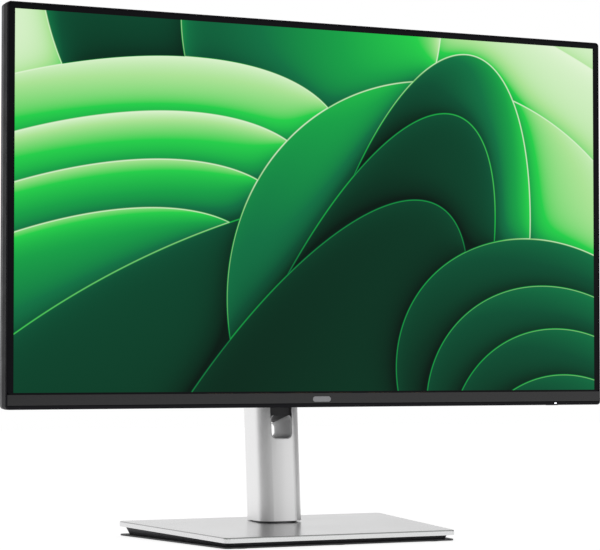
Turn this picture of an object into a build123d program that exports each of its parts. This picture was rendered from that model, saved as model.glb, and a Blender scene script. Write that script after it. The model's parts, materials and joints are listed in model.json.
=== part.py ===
from build123d import *
from math import cos, radians, sin, tan
import os

# Desktop monitor: a 23.8 inch screen head on a stand with swivel, height, tilt and pivot.
# Millimetres, +Z up. The origin is on the desk at the centre of the base. The screen faces -Y
# and +X is the viewer's right.

# ---------------------------------------------------------------- driving dimensions
ACTIVE_W = 527.04            # picture area of a 23.8 inch 16:9 panel
ACTIVE_H = 296.46
ACTIVE_Z = 270.8             # centre of the picture area above the desk
HEAD_W = 539.6
HEAD_TOP = ACTIVE_Z + 153.75
HEAD_BOTTOM = ACTIVE_Z - 161.2
HEAD_H = HEAD_TOP - HEAD_BOTTOM
HEAD_Z = (HEAD_TOP + HEAD_BOTTOM) / 2    # also the height of the pivot and the VESA centre
HEAD_R = 3.0
FRONT_Y = -49.0              # front rim of the frame
SEAM_Y = -40.0               # frame meets rear cover
SLIM_Y = -31.0               # back of the slim part of the head
REAR_Y = -1.0                # back of the raised block, the VESA face
RIM = 1.2                    # wall of the front frame
LIP_H = 2.8                  # bar under the chin strip
WALL = 2.2                   # wall of the rear cover

BLOCK_W = 330.0              # raised block on the back
BLOCK_H = 244.0
BLOCK_Z = 250.0
BLOCK_TAPER = 25.0

BASE_DEPTH = 176.0
BASE_FRONT_W = 206.0
BASE_BACK_W = 250.0
BASE_R = 5.0
BASE_TOP_FRONT = 9.1
BASE_TOP_BACK = 12.5
BASE_COVER_T = 4.2

NECK_Y = 42.25               # swivel axis
NECK_FOOT_Z = 12.6           # underside of the neck
NECK_TOP_Z = 356.0
NECK_W = 40.0
NECK_D = 42.0
NECK_WALL = 2.2
NECK_R = 11.5                # corner radius of its plan
NECK_FRONT_BOW = 2.2         # how far the front and back bow out
NECK_SIDE_BOW = 0.8
LEAN = 4.4                   # the neck leans back by this many degrees
SLOT_W = 20.0                # slot that the hinge arm runs in, open down to the cable hole
SLOT_HIGH = 349.0
HOLE_LOW = 81.4              # cable hole: widens and gets lower towards the back
HOLE_FRONT_Y = 28.0
HOLE_BACK_Y = 70.0
HOLE_FRONT_TOP = 102.6
HOLE_BACK_TOP = 94.4
HOLE_BACK_W = 26.0
HOLE_R = 5.0

TILT_Y = 24.0                # tilt shaft, level with HEAD_Z
VESA = 100.0                 # 100 x 100 mm, M4
BUTTON_X = 224.0             # power button and light, near the right-hand end
BUTTON_Y = -42.9
STICK_X = 222.0              # joystick, on the back behind the same end
STICK_Y = -36.0
STICK_Z = 140.0

LEAN_DIR = (0, sin(radians(LEAN)), cos(radians(LEAN)))
BASE_TOP = Plane(
    origin=(0, 0, (BASE_TOP_FRONT + BASE_TOP_BACK) / 2),
    x_dir=(1, 0, 0),
    z_dir=(0, -(BASE_TOP_BACK - BASE_TOP_FRONT) / BASE_DEPTH, 1),
)


# ---------------------------------------------------------------- helpers
def finish(builder, label):
    """Label a finished piece and write its STEP file."""
    builder.part.label = label
    export_step(builder.part, f"parts/{label}.step")


def slab(low, high, mode=Mode.ADD):
    """Box between two opposite corners."""
    middle = tuple((a + b) / 2 for a, b in zip(low, high))
    size = [b - a for a, b in zip(low, high)]
    with Locations(middle):
        Box(*size, mode=mode)


def seen_from_front(y, z=HEAD_Z):
    """Upright plane facing the viewer: local x is +X, local y is +Z."""
    return Plane(origin=(0, y, z), x_dir=(1, 0, 0), z_dir=(0, -1, 0))


def seen_from_behind(y, z=HEAD_Z):
    """Upright plane facing backwards: local x is -X, local y is +Z."""
    return Plane(origin=(0, y, z), x_dir=(-1, 0, 0), z_dir=(0, 1, 0))


def neck_plane(z):
    """Level plane at height z, centred on the leaning neck."""
    return Plane(origin=(0, NECK_Y + (z - NECK_FOOT_Z) * tan(radians(LEAN)), z))


def along_neck(low, high):
    """Length of a lean-parallel extrusion between two heights."""
    return (high - low) / cos(radians(LEAN))


def base_outline(inset=0.0):
    """Plan of the base: a trapezoid, narrower at the front."""
    with BuildSketch() as plan:
        with BuildLine():
            Polyline(
                (-BASE_FRONT_W / 2, -BASE_DEPTH / 2),
                (BASE_FRONT_W / 2, -BASE_DEPTH / 2),
                (BASE_BACK_W / 2, BASE_DEPTH / 2),
                (-BASE_BACK_W / 2, BASE_DEPTH / 2),
                close=True,
            )
        make_face()
        if inset:
            offset(amount=-inset, kind=Kind.INTERSECTION, mode=Mode.REPLACE)
        fillet(plan.vertices(), BASE_R)
    return plan.sketch


def neck_outline(inset=0.0):
    """Plan of the neck: a box with slightly bowed sides and wide round corners."""
    half_w = NECK_W / 2 - inset
    half_d = NECK_D / 2 - inset
    corner_x = half_w - NECK_SIDE_BOW
    corner_y = half_d - NECK_FRONT_BOW
    with BuildSketch() as plan:
        with BuildLine():
            ThreePointArc((-corner_x, -corner_y), (0, -half_d), (corner_x, -corner_y))
            ThreePointArc((corner_x, -corner_y), (half_w, 0), (corner_x, corner_y))
            ThreePointArc((corner_x, corner_y), (0, half_d), (-corner_x, corner_y))
            ThreePointArc((-corner_x, corner_y), (-half_w, 0), (-corner_x, -corner_y))
        make_face()
        fillet(plan.vertices(), NECK_R - inset)
    return plan.sketch


os.makedirs("parts", exist_ok=True)

# ---------------------------------------------------------------- base
BEARING_R = 19.3             # recess in the base for the swivel
HUB_R = 14.0
SEAT_Z = 9.0                 # the hub's flange turns above this
WEIGHT_LOW = 4.6             # the hub's retainer turns below this

with BuildPart() as base_cover:
    with BuildSketch(BASE_TOP):
        add(base_outline())
    extrude(amount=-BASE_COVER_T)
    fillet(base_cover.faces().sort_by(Axis.Z)[-1].outer_wire().edges(), 1.1)
    with BuildSketch(BASE_TOP.offset(-2.0)):
        add(base_outline(2.2))
    extrude(amount=-BASE_COVER_T, mode=Mode.SUBTRACT)
    with Locations((0, NECK_Y, BASE_TOP_FRONT)):
        Cylinder(BEARING_R, 20, mode=Mode.SUBTRACT)
finish(base_cover, "base_cover")

with BuildPart() as base_weight:
    with BuildSketch(BASE_TOP.offset(-2.05)):
        add(base_outline(2.5))
    extrude(amount=-(BASE_COVER_T - 2.05))
    with BuildSketch(Plane.XY.offset(1.8)):
        add(base_outline(12.0))
    extrude(amount=5.0)
    with Locations((0, NECK_Y, SEAT_Z)):
        Cylinder(BEARING_R, 8, align=(Align.CENTER, Align.CENTER, Align.MIN), mode=Mode.SUBTRACT)
    with Locations((0, NECK_Y, WEIGHT_LOW)):
        Cylinder(BEARING_R, 8, align=(Align.CENTER, Align.CENTER, Align.MAX), mode=Mode.SUBTRACT)
    with Locations((0, NECK_Y, SEAT_Z)):
        Cylinder(HUB_R + 2, 30, mode=Mode.SUBTRACT)
finish(base_weight, "base_weight")

with BuildPart() as base_skirt:
    with BuildSketch(Plane.XY.offset(1.7)):
        add(base_outline(6.0))
    extrude(amount=7.5, taper=-28)
    split(bisect_by=BASE_TOP.offset(-BASE_COVER_T), keep=Keep.BOTTOM)
    with BuildSketch(Plane.XY.offset(1.7)):
        add(base_outline(11.7))
    extrude(amount=10, mode=Mode.SUBTRACT)
finish(base_skirt, "base_skirt")

FOOT_PLACES = [(-86, -76), (86, -76), (-106, 76), (106, 76), (0, -76)]
with BuildPart() as base_bottom_plate:
    with BuildSketch(Plane.XY.offset(0.5)):
        add(base_outline(0.6))
        with Locations((0, NECK_Y)):
            Circle(BEARING_R, mode=Mode.SUBTRACT)
    extrude(amount=1.2)
    with BuildSketch(Plane.XY.offset(0.5)):
        with Locations(*FOOT_PLACES):
            Circle(8.0)
    extrude(amount=0.7, mode=Mode.SUBTRACT)
finish(base_bottom_plate, "base_bottom_plate")

with BuildPart() as rubber_feet:
    with BuildSketch():
        with Locations(*FOOT_PLACES):
            Circle(7.8)
    extrude(amount=1.2)
    chamfer(rubber_feet.faces().group_by(Axis.Z)[0].edges(), 0.3)
finish(rubber_feet, "rubber_feet")

with BuildPart() as swivel_bush:
    with BuildSketch(Plane.XY.offset(WEIGHT_LOW)):
        with Locations((0, NECK_Y)):
            Circle(HUB_R + 2)
            Circle(HUB_R + 0.06, mode=Mode.SUBTRACT)
    extrude(amount=SEAT_Z - WEIGHT_LOW)
    with BuildSketch(Plane.XY.offset(SEAT_Z)):
        with Locations((0, NECK_Y)):
            Circle(BEARING_R - 0.8)
            Circle(HUB_R + 0.06, mode=Mode.SUBTRACT)
    extrude(amount=0.5)
finish(swivel_bush, "swivel_bush")

# ---------------------------------------------------------------- neck, turns on the base
with BuildPart() as swivel_hub:
    with BuildSketch(Plane.XY.offset(SEAT_Z + 0.6)):
        with Locations((0, NECK_Y)):
            Circle(18.2)
    extrude(amount=NECK_FOOT_Z - SEAT_Z - 0.6)
    with BuildSketch(Plane.XY.offset(2.4)):
        with Locations((0, NECK_Y)):
            Circle(HUB_R)
    extrude(amount=SEAT_Z - 1.8)
    with Locations((0, NECK_Y, 2.4)):
        Cylinder(10.5, 4.6, align=(Align.CENTER, Align.CENTER, Align.MIN), mode=Mode.SUBTRACT)
        Cylinder(4.1, 40, mode=Mode.SUBTRACT)
    with Locations((-12, NECK_Y, NECK_FOOT_Z), (12, NECK_Y, NECK_FOOT_Z)):
        Cylinder(2.0, 5.0, align=(Align.CENTER, Align.CENTER, Align.MIN))
finish(swivel_hub, "swivel_hub")

with BuildPart() as swivel_retainer:
    with BuildSketch(Plane.XY.offset(2.4)):
        with Locations((0, NECK_Y)):
            Circle(18.2)
            Circle(HUB_R, mode=Mode.SUBTRACT)
    extrude(amount=1.6)
finish(swivel_retainer, "swivel_retainer")

with BuildPart() as thumb_screw:
    with Locations((0, NECK_Y, 3.4)):
        Cylinder(10.0, 3.6, align=(Align.CENTER, Align.CENTER, Align.MIN))
        Cylinder(3.9, 21, align=(Align.CENTER, Align.CENTER, Align.MIN))
    chamfer(thumb_screw.edges().sort_by(Axis.Z)[-1], 0.8)
    slab((-6, NECK_Y - 0.8, 3.4), (6, NECK_Y + 0.8, 4.6), mode=Mode.SUBTRACT)
    with Locations(*[Location((x, NECK_Y + 7.4, 2.6), (0, 90, 0)) for x in (-4.4, 4.4)]):
        Cylinder(1.3, 1.8)
        Box(1.8, 2.6, 1.8, align=(Align.MAX, Align.CENTER, Align.CENTER))
    with Locations(Location((0, NECK_Y + 7.4, 2.6), (0, 90, 0))):
        Cylinder(0.75, 14, mode=Mode.SUBTRACT)
finish(thumb_screw, "thumb_screw")

with BuildPart() as screw_ring:
    with BuildLine() as ring_path:
        Line((-3.0, NECK_Y + 7.4, 2.6), (-6.6, NECK_Y + 7.4, 2.6))
        Line((-6.6, NECK_Y + 7.4, 2.6), (-6.6, NECK_Y - 1.4, 2.6))
        ThreePointArc((-6.6, NECK_Y - 1.4, 2.6), (0, NECK_Y - 8.0, 2.6), (6.6, NECK_Y - 1.4, 2.6))
        Line((6.6, NECK_Y - 1.4, 2.6), (6.6, NECK_Y + 7.4, 2.6))
        Line((6.6, NECK_Y + 7.4, 2.6), (3.0, NECK_Y + 7.4, 2.6))
    with BuildSketch(Plane(origin=(-3.0, NECK_Y + 7.4, 2.6), z_dir=(-1, 0, 0))):
        Circle(0.7)
    sweep(path=ring_path.wire(), transition=Transition.ROUND)
finish(screw_ring, "screw_ring")

with BuildPart() as neck_foot:
    with BuildSketch(neck_plane(NECK_FOOT_Z)):
        add(neck_outline(NECK_WALL + 0.1))
    extrude(amount=along_neck(0, 15.4), dir=LEAN_DIR)
    with BuildSketch(neck_plane(28.0)):
        with Locations((0, -1)):
            Rectangle(25.8, 20)
    extrude(amount=along_neck(0, 14), dir=LEAN_DIR)
    with Locations((0, NECK_Y, NECK_FOOT_Z)):
        Cylinder(4.0, 2 * 13, mode=Mode.SUBTRACT)
    with Locations((-12, NECK_Y, NECK_FOOT_Z), (12, NECK_Y, NECK_FOOT_Z)):
        Cylinder(2.1, 2 * 5.4, mode=Mode.SUBTRACT)
finish(neck_foot, "neck_foot")

REAR_SEAM = 14.5             # neck column meets its rear cover, behind the neck's centre


def roof(y):
    """Height of the cable hole's roof, which slopes down towards the back."""
    share = (y - HOLE_FRONT_Y) / (HOLE_BACK_Y - HOLE_FRONT_Y)
    return HOLE_FRONT_TOP + (HOLE_BACK_TOP - HOLE_FRONT_TOP) * share


def cable_hole(grow=0.0):
    """Form of the cable hole, run on past both faces of the neck and grown by a margin."""
    with BuildPart() as form:
        for y in (HOLE_FRONT_Y - 10, HOLE_BACK_Y + 10):
            share = (y - HOLE_FRONT_Y) / (HOLE_BACK_Y - HOLE_FRONT_Y)
            width = SLOT_W + (HOLE_BACK_W - SLOT_W) * share
            with BuildSketch(seen_from_behind(y, (HOLE_LOW + roof(y)) / 2)):
                RectangleRounded(width + 2 * grow, roof(y) - HOLE_LOW + 2 * grow, HOLE_R + grow)
        loft()
    return form.part


with BuildPart() as neck_column:
    with BuildSketch(neck_plane(NECK_FOOT_Z)):
        add(neck_outline())
        add(neck_outline(NECK_WALL), mode=Mode.SUBTRACT)
        with Locations((0, REAR_SEAM)):
            Rectangle(60, 30, align=(Align.CENTER, Align.MIN), mode=Mode.SUBTRACT)
    extrude(amount=along_neck(NECK_FOOT_Z, NECK_TOP_Z), dir=LEAN_DIR)
    slot_low = HOLE_LOW + 2 * HOLE_R
    with BuildSketch(neck_plane(slot_low)):
        with Locations((0, -8)):
            Rectangle(SLOT_W, 30, align=(Align.CENTER, Align.MAX))
    extrude(amount=along_neck(slot_low, SLOT_HIGH), dir=LEAN_DIR, mode=Mode.SUBTRACT)
    add(cable_hole(), mode=Mode.SUBTRACT)
finish(neck_column, "neck_column")

with BuildPart() as neck_rear_cover:
    with BuildSketch(neck_plane(NECK_FOOT_Z)):
        add(neck_outline())
        add(neck_outline(NECK_WALL), mode=Mode.SUBTRACT)
        with Locations((0, REAR_SEAM + 0.1)):
            Rectangle(60, 30, align=(Align.CENTER, Align.MIN), mode=Mode.INTERSECT)
    extrude(amount=along_neck(NECK_FOOT_Z, NECK_TOP_Z), dir=LEAN_DIR)
    add(cable_hole(), mode=Mode.SUBTRACT)
finish(neck_rear_cover, "neck_rear_cover")

with BuildPart() as neck_top_cap:
    with BuildSketch(neck_plane(NECK_TOP_Z)):
        add(neck_outline())
    extrude(amount=2.4)
    fillet(neck_top_cap.faces().sort_by(Axis.Z)[-1].edges(), 1.2)
    with BuildSketch(neck_plane(NECK_TOP_Z)):
        add(neck_outline(NECK_WALL + 0.3))
        add(neck_outline(NECK_WALL + 1.6), mode=Mode.SUBTRACT)
    extrude(amount=-4.0)
finish(neck_top_cap, "neck_top_cap")

with BuildPart() as cable_liner:
    add(cable_hole(-0.1))
    add(cable_hole(-0.9), mode=Mode.SUBTRACT)
    with BuildSketch(neck_plane(70)):
        add(neck_outline(0.4))
    extrude(amount=along_neck(70, 120), dir=LEAN_DIR, mode=Mode.INTERSECT)
    # the guide above it closes the top
    with BuildSketch(Plane.YZ):
        with BuildLine():
            Polyline((0, roof(0) - 1.2), (120, roof(120) - 1.2), (120, 130), (0, 130), close=True)
        make_face()
    extrude(amount=30, both=True, mode=Mode.SUBTRACT)
finish(cable_liner, "cable_liner")

GUIDE_TOP = 131.0
with BuildPart() as cable_guide:
    front_low = neck_plane(100).origin.Y - NECK_D / 2 + 3.4
    front_high = neck_plane(GUIDE_TOP).origin.Y - NECK_D / 2 + 3.4
    back_low = neck_plane(100).origin.Y + 8.4
    back_high = neck_plane(GUIDE_TOP).origin.Y + 8.4
    with BuildSketch(Plane.YZ):
        with BuildLine():
            Polyline(
                (front_low, roof(front_low) - 1.0),
                (back_low, roof(back_low) - 1.0),
                (back_high, GUIDE_TOP),
                (front_high, GUIDE_TOP),
                close=True,
            )
        make_face()
    extrude(amount=SLOT_W / 2 - 0.3, both=True)
finish(cable_guide, "cable_guide")

CORE_LOW = 28.0
CORE_HIGH = 352.0
with BuildPart() as neck_core:
    with BuildSketch(neck_plane(CORE_LOW)):
        with Locations((0, -0.7)):
            Rectangle(29.2, 22.6)
        with Locations((0, -2.3)):
            Rectangle(26.0, 22.6, mode=Mode.SUBTRACT)
    extrude(amount=along_neck(CORE_LOW, CORE_HIGH), dir=LEAN_DIR)
    add(cable_hole(0.3), mode=Mode.SUBTRACT)
    with Locations(*[Location((0, neck_plane(z).origin.Y - 3, z), (0, 90, 0)) for z in (32.0, 38.0)]):
        Cylinder(1.6, 40, mode=Mode.SUBTRACT)
finish(neck_core, "neck_core")

with BuildPart() as core_screws:
    for side in (-1, 1):
        for z in (32.0, 38.0):
            with Locations(Location((side * 14.6, neck_plane(z).origin.Y - 3, z), (0, side * 90, 0))):
                Cylinder(2.8, 1.6, align=(Align.CENTER, Align.CENTER, Align.MIN))
                Cylinder(1.5, 1.6, align=(Align.CENTER, Align.CENTER, Align.MAX))
finish(core_screws, "core_screws")

RAIL_LOW = 132.0
RAIL_HIGH = 351.5
with BuildPart() as guide_rails:
    for side in (-1, 1):
        with BuildSketch(neck_plane(RAIL_LOW)):
            with Locations((side * 11.35, -2)):
                Rectangle(3.3, 12)
            with Locations((side * 10.7, -2)):
                Rectangle(2.0, 4, mode=Mode.SUBTRACT)
        extrude(amount=along_neck(RAIL_LOW, RAIL_HIGH), dir=LEAN_DIR)
finish(guide_rails, "guide_rails")

with BuildPart() as lift_spring_strip:
    with BuildSketch(neck_plane(134.0)):
        with Locations((0, 8.4)):
            Rectangle(14.0, 0.4)
    extrude(amount=along_neck(134.0, 350.0), dir=LEAN_DIR)
finish(lift_spring_strip, "lift_spring_strip")

# ---------------------------------------------------------------- carriage, slides along the neck
BLOCK_LOW = 232.0
BLOCK_HIGH = 280.0
ROLL_Z = 222.0
ROLL_R = 7.2
ARM_HALF = 7.0               # half the height of the hinge arm
BARREL_R = 9.0
SHAFT_R = 4.0

with BuildPart() as carriage:
    with BuildSketch(neck_plane(BLOCK_LOW)):
        with Locations((0, -2)):
            Rectangle(17.6, 13)
    extrude(amount=along_neck(BLOCK_LOW, BLOCK_HIGH), dir=LEAN_DIR)
    with BuildSketch(neck_plane(ROLL_Z - 5)):
        with Locations((-8.2, -2), (8.2, -2)):
            Rectangle(1.2, 9)
    extrude(amount=along_neck(ROLL_Z - 5, BLOCK_LOW), dir=LEAN_DIR)
    slab((-8.8, TILT_Y, HEAD_Z - ARM_HALF), (8.8, neck_plane(HEAD_Z).origin.Y - 4, HEAD_Z + ARM_HALF))
    with Locations(Location((0, TILT_Y, HEAD_Z), (0, 90, 0))):
        Cylinder(BARREL_R, 17.6)
        Cylinder(SHAFT_R + 0.05, 30, mode=Mode.SUBTRACT)
    with Locations(Location((0, neck_plane(ROLL_Z).origin.Y - 2, ROLL_Z), (0, 90, 0))):
        Cylinder(1.6, 30, mode=Mode.SUBTRACT)
finish(carriage, "carriage")

with BuildPart() as glide_pads:
    for side in (-1, 1):
        for low in (BLOCK_LOW + 2, BLOCK_HIGH - 20):
            with BuildSketch(neck_plane(low)):
                with Locations((side * 10.05, -2)):
                    Rectangle(2.5, 3.3)
            extrude(amount=along_neck(0, 18), dir=LEAN_DIR)
finish(glide_pads, "glide_pads")

with BuildPart() as lift_spring_roll:
    with Locations(Location((0, neck_plane(ROLL_Z).origin.Y - 2, ROLL_Z), (0, 90, 0))):
        Cylinder(ROLL_R, 14.0)
        Cylinder(ROLL_R - 1.8, 14.4)
        Cylinder(1.6, 17.6)
finish(lift_spring_roll, "lift_spring_roll")

# ---------------------------------------------------------------- tilt hinge
EAR_IN = 9.3
EAR_OUT = 13.3
SPRING_OUT = 22.5
BRACKET_FRONT = 0.6
BRACKET_BACK = 3.6
PIVOT_R = 6.0

with BuildPart() as tilt_bracket:
    with BuildSketch(seen_from_behind(BRACKET_FRONT)):
        RectangleRounded(58, 52, 8)
        Circle(PIVOT_R + 0.05, mode=Mode.SUBTRACT)
    extrude(amount=BRACKET_BACK - BRACKET_FRONT)
    for side in (-1, 1):
        with BuildSketch(Plane(origin=(side * EAR_IN, 0, HEAD_Z), x_dir=(0, 1, 0), z_dir=(side, 0, 0))):
            with BuildLine():
                Polyline(
                    (BRACKET_BACK, -13),
                    (TILT_Y, -BARREL_R),
                    (TILT_Y, BARREL_R),
                    (BRACKET_BACK, 13),
                    close=True,
                )
            make_face()
            with Locations((TILT_Y, 0)):
                Circle(BARREL_R)
                Circle(SHAFT_R, mode=Mode.SUBTRACT)
        extrude(amount=EAR_OUT - EAR_IN)
finish(tilt_bracket, "tilt_bracket")

with BuildPart() as tilt_shaft:
    with Locations(Location((0, TILT_Y, HEAD_Z), (0, 90, 0))):
        Cylinder(SHAFT_R, 2 * SPRING_OUT)
    for side in (-1, 1):
        with Locations(Location((side * SPRING_OUT, TILT_Y, HEAD_Z), (0, side * 90, 0))):
            Cylinder(6.8, 2.4, align=(Align.CENTER, Align.CENTER, Align.MIN))
finish(tilt_shaft, "tilt_shaft")

WIRE_R = 1.1
COILS = 4
with BuildPart() as tilt_springs:
    for side in (-1, 1):
        start = side * (EAR_OUT + 0.1)
        with BuildSketch(Plane(origin=(0, TILT_Y, HEAD_Z))) as wire_rows:
            for coil in range(COILS):
                with Locations((start + side * WIRE_R * (2 * coil + 1) * 0.99, SHAFT_R + 0.3 + WIRE_R)):
                    Circle(WIRE_R)
        revolve(axis=Axis((0, TILT_Y, HEAD_Z), (1, 0, 0)))
finish(tilt_springs, "tilt_springs")

with BuildPart() as friction_washers:
    for side in (-1, 1):
        with Locations(Location((side * 9.05, TILT_Y, HEAD_Z), (0, 90, 0))):
            Cylinder(8.4, 0.4)
            Cylinder(SHAFT_R + 0.3, 2, mode=Mode.SUBTRACT)
finish(friction_washers, "friction_washers")

with BuildPart() as hinge_shroud:
    with BuildSketch(seen_from_behind(BRACKET_BACK + 0.1)):
        RectangleRounded(60, 32, 6)
        RectangleRounded(57, 29, 4.5, mode=Mode.SUBTRACT)
    extrude(amount=28.4)
    with BuildSketch(seen_from_behind(BRACKET_BACK + 0.1)):
        RectangleRounded(59, 31, 5)
        RectangleRounded(29.4, 29, 1, mode=Mode.SUBTRACT)
        for x in (-14.8, 14.8):
            with Locations((x, 0)):
                Rectangle(4, 34, mode=Mode.SUBTRACT)
    extrude(amount=1.6)
finish(hinge_shroud, "hinge_shroud")

# ---------------------------------------------------------------- pivot, turns with the screen
PLATE = 88.0
RECESS = 92.0
RECESS_Y = -8.0
with BuildPart() as mount_plate:
    with BuildSketch(seen_from_behind(RECESS_Y)):
        RectangleRounded(PLATE, PLATE, 8)
        Circle(PIVOT_R, mode=Mode.SUBTRACT)
        with Locations((-30, 30), (30, 30)):
            SlotOverall(12, 5, mode=Mode.SUBTRACT)
    extrude(amount=3.0)
finish(mount_plate, "mount_plate")

with BuildPart() as pivot_shaft:
    with BuildSketch(seen_from_behind(RECESS_Y)):
        Circle(PIVOT_R)
    extrude(amount=16.0)
    with BuildSketch(seen_from_behind(-5.0)):
        Circle(16.0)
    extrude(amount=3.0)
finish(pivot_shaft, "pivot_shaft")

with BuildPart() as pivot_washers:
    with BuildSketch(seen_from_behind(-2.0)):
        Circle(20.0)
        Circle(PIVOT_R + 0.3, mode=Mode.SUBTRACT)
    extrude(amount=2.3)
    with BuildSketch(seen_from_behind(3.9)):
        Circle(8.6)
        Circle(PIVOT_R + 0.3, mode=Mode.SUBTRACT)
    extrude(amount=0.9)
finish(pivot_washers, "pivot_washers")

with BuildPart() as pivot_nut:
    with BuildSketch(seen_from_behind(4.8)):
        RegularPolygon(9.0, 6)
        Circle(PIVOT_R, mode=Mode.SUBTRACT)
    extrude(amount=3.6)
finish(pivot_nut, "pivot_nut")

# ---------------------------------------------------------------- screen, front to back
INNER_W = HEAD_W - 2 * RIM
CELL_W = INNER_W - 0.6
CELL_TOP = HEAD_TOP - RIM - 0.3
CELL_LOW = ACTIVE_Z - ACTIVE_H / 2 - 1.25
CELL_H = CELL_TOP - CELL_LOW
CELL_Z = (CELL_TOP + CELL_LOW) / 2
CELL_FRONT = FRONT_Y + 0.25
CELL_BACK = -47.5
GUIDE_FRONT = -46.9
GUIDE_BACK = -44.4
TRAY_FLOOR = -44.1
TRAY_BACK = -43.3

with BuildPart() as front_frame:
    with BuildSketch(seen_from_front(FRONT_Y)):
        RectangleRounded(HEAD_W, HEAD_H, HEAD_R)
        RectangleRounded(INNER_W, HEAD_H - 2 * RIM, HEAD_R - RIM, mode=Mode.SUBTRACT)
    extrude(amount=FRONT_Y - SEAM_Y)
    with BuildSketch(seen_from_front(FRONT_Y)):
        RectangleRounded(HEAD_W, HEAD_H, HEAD_R)
        with Locations((0, -HEAD_H / 2)):
            Rectangle(HEAD_W, 2 * LIP_H, mode=Mode.INTERSECT)
    extrude(amount=-3.5)
    with BuildSketch(seen_from_front(-42.9)):
        RectangleRounded(INNER_W + 0.2, HEAD_H - 2 * RIM + 0.2, HEAD_R - RIM)
        RectangleRounded(INNER_W - 10, HEAD_H - 2 * RIM - 10, 1, mode=Mode.SUBTRACT)
        with Locations((0, -HEAD_H / 2)):
            Rectangle(HEAD_W, 30, mode=Mode.SUBTRACT)
    extrude(amount=-1.5)
    chamfer(front_frame.faces().sort_by(Axis.Y)[0].outer_wire().edges(), 0.6)
    with Locations((BUTTON_X, FRONT_Y + 1.75, HEAD_BOTTOM + 1.6)):
        Box(2.4, 6, 1.0, mode=Mode.SUBTRACT)
    with BuildSketch(Plane(origin=(BUTTON_X, BUTTON_Y, HEAD_BOTTOM - 1))):
        SlotOverall(13.0, 4.6)
    extrude(amount=3, mode=Mode.SUBTRACT)
finish(front_frame, "front_frame")

with BuildPart() as chin_strip:
    slab(
        (-INNER_W / 2 + 0.2, FRONT_Y - 0.1, HEAD_BOTTOM + LIP_H + 0.35),
        (INNER_W / 2 - 0.2, FRONT_Y + 0.8, CELL_LOW - 0.1),
    )
    fillet(chin_strip.faces().sort_by(Axis.Y)[0].edges().filter_by(Axis.X), 0.3)
finish(chin_strip, "chin_strip")

with BuildPart() as badge:
    with BuildSketch(seen_from_front(FRONT_Y - 0.1, z=ACTIVE_Z - 154.6)):
        SlotOverall(16.4, 4.6)
    extrude(amount=0.35)
    chamfer(badge.faces().sort_by(Axis.Y)[0].edges(), 0.15)
finish(badge, "badge")

with BuildPart() as power_led_lens:
    slab(
        (BUTTON_X - 1.1, FRONT_Y - 0.05, HEAD_BOTTOM + 1.15),
        (BUTTON_X + 1.1, FRONT_Y + 3.4, HEAD_BOTTOM + 2.05),
    )
finish(power_led_lens, "power_led_lens")


def sheet(width, height, front, back, z=CELL_Z, radius=0.8):
    """Thin rounded sheet parallel to the screen."""
    with BuildSketch(seen_from_front(front, z)) as face:
        RectangleRounded(width, height, radius)
    extrude(to_extrude=face.sketch, amount=front - back)


with BuildPart() as lcd_cell:
    sheet(CELL_W, CELL_H, CELL_FRONT, CELL_BACK, radius=2.6)
finish(lcd_cell, "lcd_cell")

with BuildPart() as optical_films:
    sheet(530.0, 299.0, -47.4, -47.2)
    sheet(530.0, 299.0, -47.15, -46.95)
    sheet(526.0, 293.0, GUIDE_BACK + 0.02, TRAY_FLOOR - 0.02, z=CELL_Z + 1.5)
finish(optical_films, "optical_films")

with BuildPart() as light_guide:
    sheet(526.0, 293.0, GUIDE_FRONT, GUIDE_BACK, z=CELL_Z + 1.5)
finish(light_guide, "light_guide")

LED_Z = CELL_Z - 146.8
with BuildPart() as led_bar:
    slab((-262, GUIDE_FRONT, LED_Z), (262, GUIDE_BACK, LED_Z + 0.9))
    with Locations((0, (GUIDE_FRONT + GUIDE_BACK) / 2, LED_Z + 0.9)):
        with GridLocations(14.0, 0, 37, 1):
            Box(5.0, 1.6, 0.7, align=(Align.CENTER, Align.CENTER, Align.MIN))
finish(led_bar, "led_bar")

with BuildPart() as panel_tray:
    sheet(CELL_W - 0.4, CELL_H - 0.4, GUIDE_FRONT, TRAY_BACK, radius=2.6)
    with BuildSketch(seen_from_front(GUIDE_FRONT, CELL_Z)):
        RectangleRounded(CELL_W - 2.0, CELL_H - 2.0, 0.8)
    extrude(amount=GUIDE_FRONT - TRAY_FLOOR, mode=Mode.SUBTRACT)
finish(panel_tray, "panel_tray")

BOARD_Z = 128.0
with BuildPart() as source_board:
    slab((-120, -43.0, BOARD_Z), (120, -42.0, BOARD_Z + 16))
    with Locations((0, -42.0, BOARD_Z + 8)):
        with GridLocations(40, 0, 5, 1):
            Box(9, 1.0, 7, align=(Align.CENTER, Align.MIN, Align.CENTER))
finish(source_board, "source_board")

with BuildPart() as flat_cables:
    for x in range(-90, 91, 36):
        slab((x - 11, -48.1, 120.5), (x + 11, -47.95, CELL_LOW))
        slab((x - 11, -48.1, 120.35), (x + 11, -42.85, 120.5))
        slab((x - 11, -43.0, 120.5), (x + 11, -42.85, BOARD_Z))
    slab((-18, -41.9, BOARD_Z + 13), (18, -41.7, 160.6))
    slab((-18, -41.9, 160.6), (18, -37.3, 160.8))
    slab((-18, -37.5, 160.8), (18, -37.3, 170.0))
finish(flat_cables, "flat_cables")

# ---------------------------------------------------------------- chassis and electronics
CHASSIS_Y = -41.0
with BuildPart() as chassis_plate:
    slab((-150, CHASSIS_Y, 163), (150, CHASSIS_Y + 1, 376))
    slab((-150, CHASSIS_Y, 375), (150, CHASSIS_Y + 5, 376))
    slab((-22, CHASSIS_Y - 1, 160), (22, CHASSIS_Y + 6, 166), mode=Mode.SUBTRACT)
    with Locations(*[Location((x, TRAY_BACK, z), (-90, 0, 0)) for x in (-140, 140) for z in (175, 365)]):
        Cylinder(5.0, CHASSIS_Y - TRAY_BACK, align=(Align.CENTER, Align.CENTER, Align.MIN))
finish(chassis_plate, "chassis_plate")

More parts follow.
